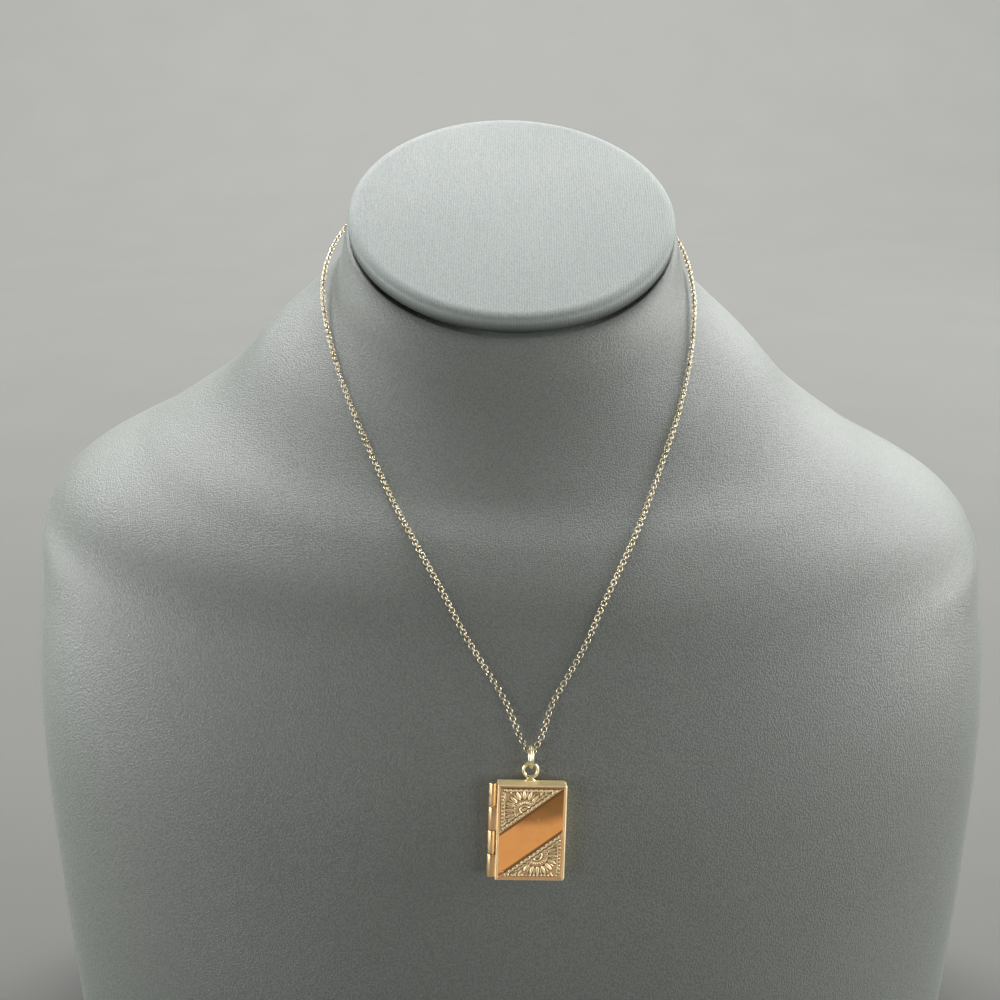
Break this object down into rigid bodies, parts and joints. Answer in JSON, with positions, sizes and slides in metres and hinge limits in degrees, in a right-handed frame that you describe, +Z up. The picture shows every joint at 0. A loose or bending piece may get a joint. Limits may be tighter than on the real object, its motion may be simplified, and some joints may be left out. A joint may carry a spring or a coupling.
{
  "type": "book locket necklace on a neck bust",
  "caption": "Gold book-shaped locket with a hinged cover and ornamented corners, hung by a jump ring on a fine cable chain round a grey neck bust.",
  "frame": {"origin": "middle of the bust's underside, on the table", "axes": "+X to the viewer's right across the shoulders, -Y out of the chest, +Z up"},
  "size_m": [0.233, 0.1375, 0.2192],
  "materials": {
    "bust_cover": "fine pebbled grey leatherette, semi-gloss",
    "cap_cover": "paler grey leatherette with fine ribs, satin",
    "chain_gold": "pale gold, polished",
    "ring_gold": "pale gold, polished",
    "case_gold": "yellow gold, lightly worn",
    "cover_gold": "rose gold, polished, relief toned",
    "pin_gold": "gold, satin"
  },
  "bodies": {
    "stand": {"bust": "bust_cover", "neck_cap": "cap_cover", "chain": "chain_gold", "clasp": "chain_gold", "jump_ring": "ring_gold", "locket_back": "case_gold", "hinge_pin": "pin_gold"},
    "front_cover": {"locket_front": "cover_gold"}
  },
  "joints": [
    {"name": "cover_hinge", "type": "hinge", "parent": "stand", "child": "front_cover", "pos_m": [-0.00401, -0.06489, 0.07842], "axis": [-0.0297, -0.1686, -0.9852], "range_deg": [0, 150]}
  ]
}
